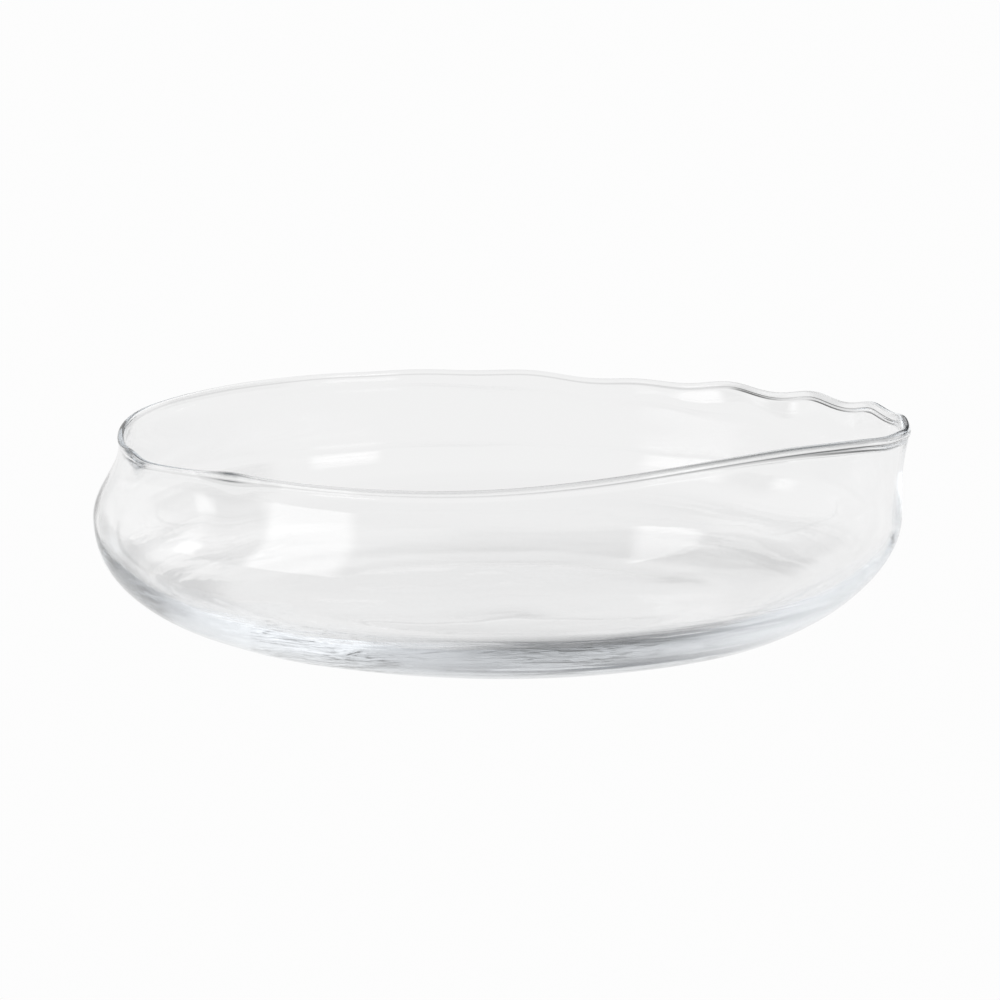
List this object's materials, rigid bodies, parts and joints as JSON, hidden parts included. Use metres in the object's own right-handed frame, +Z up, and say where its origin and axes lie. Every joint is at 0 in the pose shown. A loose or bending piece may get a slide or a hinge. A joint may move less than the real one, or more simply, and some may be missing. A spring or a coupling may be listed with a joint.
{
  "type": "glass bowl",
  "caption": "Low, wide clear glass bowl with a bulged side, a thick base and an uneven, rippled fire-polished rim, for holding liquids or small things.",
  "frame": {"origin": "on the table plane, under the middle of the bowl's outline", "axes": "+Z up, out of the bowl's mouth; -Y towards the front, where the rim's crest stands to the right; +X to the right, where the rim leans out furthest"},
  "size_m": [0.2524, 0.25, 0.072],
  "materials": {
    "clear_glass": "clear, fire-polished"
  },
  "bodies": {
    "root": {"bowl": "clear_glass"}
  },
  "joints": []
}
